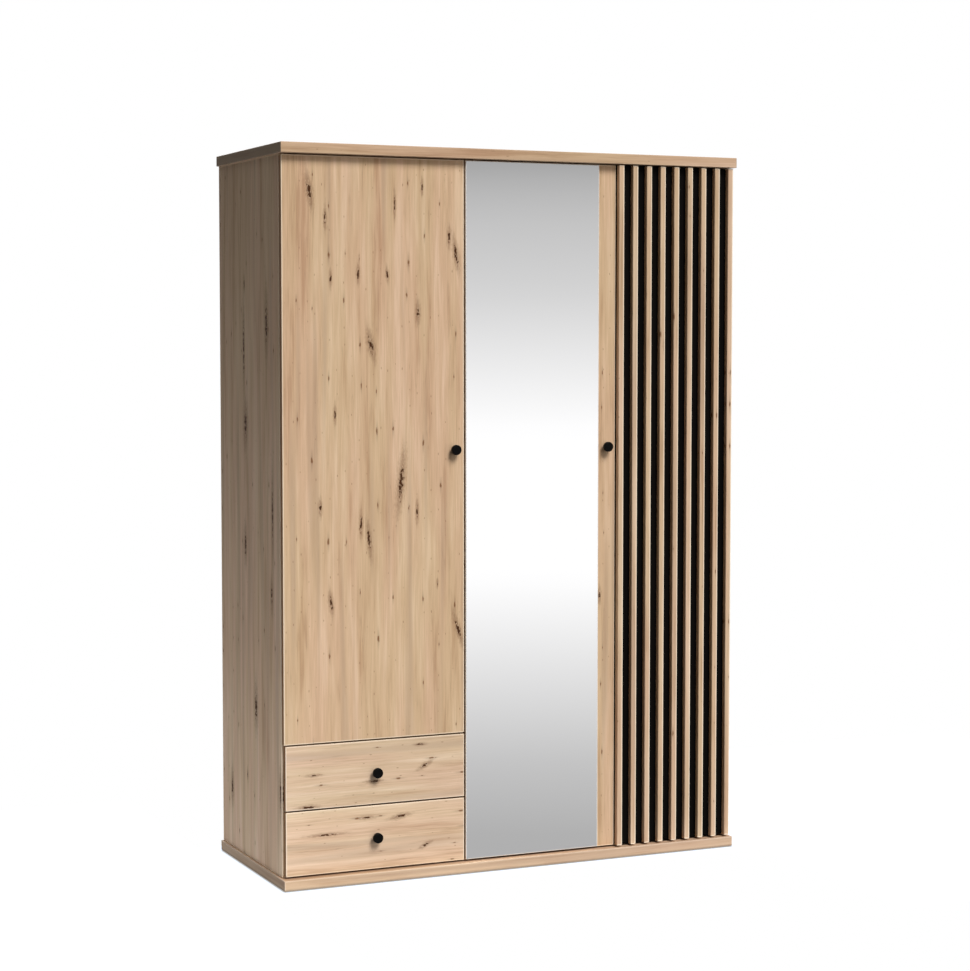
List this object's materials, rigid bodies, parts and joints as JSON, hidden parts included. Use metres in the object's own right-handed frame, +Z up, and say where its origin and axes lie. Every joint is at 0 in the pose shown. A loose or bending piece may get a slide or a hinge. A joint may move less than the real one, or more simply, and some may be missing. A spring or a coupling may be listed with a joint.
{
  "type": "wardrobe",
  "caption": "Free-standing wardrobe: an oak door over drawers, a mirror door and a black door with vertical oak slats, between overhanging top and base boards",
  "frame": {"origin": "middle of the footprint, on the floor", "axes": "+X towards the slatted door, seen from the front; -Y towards the front, where doors and drawers open; +Z up"},
  "size_m": [1.38, 0.56, 2],
  "materials": {
    "artisan_oak": "knotty oak decor on chipboard, satin, with fine vertical grain and dark knots and cracks",
    "black_board": "matt black melamine board",
    "mirror_glass": "silvered float glass with a polished edge",
    "foam_tape": "white double-sided foam tape",
    "black_metal": "satin black powder coat",
    "nickel_steel": "nickel-plated steel",
    "zinc_steel": "zinc-plated rolled steel",
    "chrome_rail": "chromed steel tube and sockets",
    "hardboard": "thin hardboard, smooth printed face",
    "drawer_board": "pale melamine drawer board",
    "birch_dowel": "raw birch",
    "white_plastic": "moulded white plastic"
  },
  "bodies": {
    "root": {"top_board": "artisan_oak", "base_board": "artisan_oak", "left_side_panel": "artisan_oak", "right_side_panel": "artisan_oak", "partition": "artisan_oak", "drawer_shelf": "artisan_oak", "shelf_lower": "artisan_oak", "shelf_middle": "artisan_oak", "shelf_upper": "artisan_oak", "hat_shelf": "artisan_oak", "shelf_pins": "nickel_steel", "hanging_rail": "chrome_rail", "rail_sockets": "chrome_rail", "back_panel_left": "hardboard", "back_panel_middle": "hardboard", "back_panel_right": "hardboard", "back_joint_strip": "white_plastic", "back_nails": "nickel_steel", "cam_locks": "nickel_steel", "cam_bolts": "nickel_steel", "wood_dowels": "birch_dowel", "floor_glides": "white_plastic", "wall_brackets": "nickel_steel", "door_buffers": "white_plastic", "hinge_plates": "nickel_steel", "hinge_arms": "nickel_steel", "cabinet_runners": "zinc_steel"},
    "left_door": {"left_door_panel": "artisan_oak", "left_door_knob": "black_metal", "left_door_hinge_cups": "nickel_steel"},
    "left_door_links": {"left_door_hinge_links": "nickel_steel"},
    "mirror_door": {"mirror_door_panel": "artisan_oak", "mirror_glass": "mirror_glass", "mirror_tape": "foam_tape", "mirror_door_knob": "black_metal", "mirror_door_hinge_cups": "nickel_steel"},
    "mirror_door_links": {"mirror_door_hinge_links": "nickel_steel"},
    "slatted_door": {"slatted_door_panel": "black_board", "door_slats": "artisan_oak", "slatted_door_hinge_cups": "nickel_steel"},
    "slatted_door_links": {"slatted_door_hinge_links": "nickel_steel"},
    "upper_drawer": {"upper_drawer_front": "artisan_oak", "upper_drawer_left_side": "drawer_board", "upper_drawer_right_side": "drawer_board", "upper_drawer_back": "drawer_board", "upper_drawer_bottom": "hardboard", "upper_drawer_knob": "black_metal", "upper_drawer_runners": "zinc_steel"},
    "upper_drawer_middle": {"upper_middle_runners": "zinc_steel"},
    "lower_drawer": {"lower_drawer_front": "artisan_oak", "lower_drawer_left_side": "drawer_board", "lower_drawer_right_side": "drawer_board", "lower_drawer_back": "drawer_board", "lower_drawer_bottom": "hardboard", "lower_drawer_knob": "black_metal", "lower_drawer_runners": "zinc_steel"},
    "lower_drawer_middle": {"lower_middle_runners": "zinc_steel"}
  },
  "joints": [
    {"name": "left_door_hinge", "type": "hinge", "parent": "root", "child": "left_door", "pos_m": [-0.676, -0.256, 1.181], "axis": [0, 0, -1], "range_deg": [0, 105]},
    {"name": "left_door_link_pivot", "type": "hinge", "parent": "root", "child": "left_door_links", "pos_m": [-0.648, -0.249, 1.181], "axis": [0, 0, -1], "range_deg": [-51, 0]},
    {"name": "mirror_door_hinge", "type": "hinge", "parent": "root", "child": "mirror_door", "pos_m": [-0.1465, -0.256, 1.002], "axis": [0, 0, -1], "range_deg": [0, 90]},
    {"name": "mirror_door_link_pivot", "type": "hinge", "parent": "root", "child": "mirror_door_links", "pos_m": [-0.1185, -0.249, 1.002], "axis": [0, 0, -1], "range_deg": [-44, 0]},
    {"name": "slatted_door_hinge", "type": "hinge", "parent": "root", "child": "slatted_door", "pos_m": [0.676, -0.256, 1.002], "axis": [0, 0, 1], "range_deg": [0, 105]},
    {"name": "slatted_door_link_pivot", "type": "hinge", "parent": "root", "child": "slatted_door_links", "pos_m": [0.648, -0.249, 1.002], "axis": [0, 0, 1], "range_deg": [-51, 0]},
    {"name": "upper_drawer_slide", "type": "slide", "parent": "root", "child": "upper_drawer", "axis": [0, -1, 0], "range_m": [0, 0.4]},
    {"name": "upper_middle_slide", "type": "slide", "parent": "root", "child": "upper_drawer_middle", "axis": [0, -1, 0], "range_m": [0, 0.2]},
    {"name": "lower_drawer_slide", "type": "slide", "parent": "root", "child": "lower_drawer", "axis": [0, -1, 0], "range_m": [0, 0.4]},
    {"name": "lower_middle_slide", "type": "slide", "parent": "root", "child": "lower_drawer_middle", "axis": [0, -1, 0], "range_m": [0, 0.2]}
  ],
  "couplings": [
    {"joint": "left_door_link_pivot", "follows": "left_door_hinge", "ratio": -0.48},
    {"joint": "mirror_door_link_pivot", "follows": "mirror_door_hinge", "ratio": -0.48},
    {"joint": "slatted_door_link_pivot", "follows": "slatted_door_hinge", "ratio": -0.48},
    {"joint": "upper_middle_slide", "follows": "upper_drawer_slide", "ratio": 0.5},
    {"joint": "lower_middle_slide", "follows": "lower_drawer_slide", "ratio": 0.5}
  ]
}
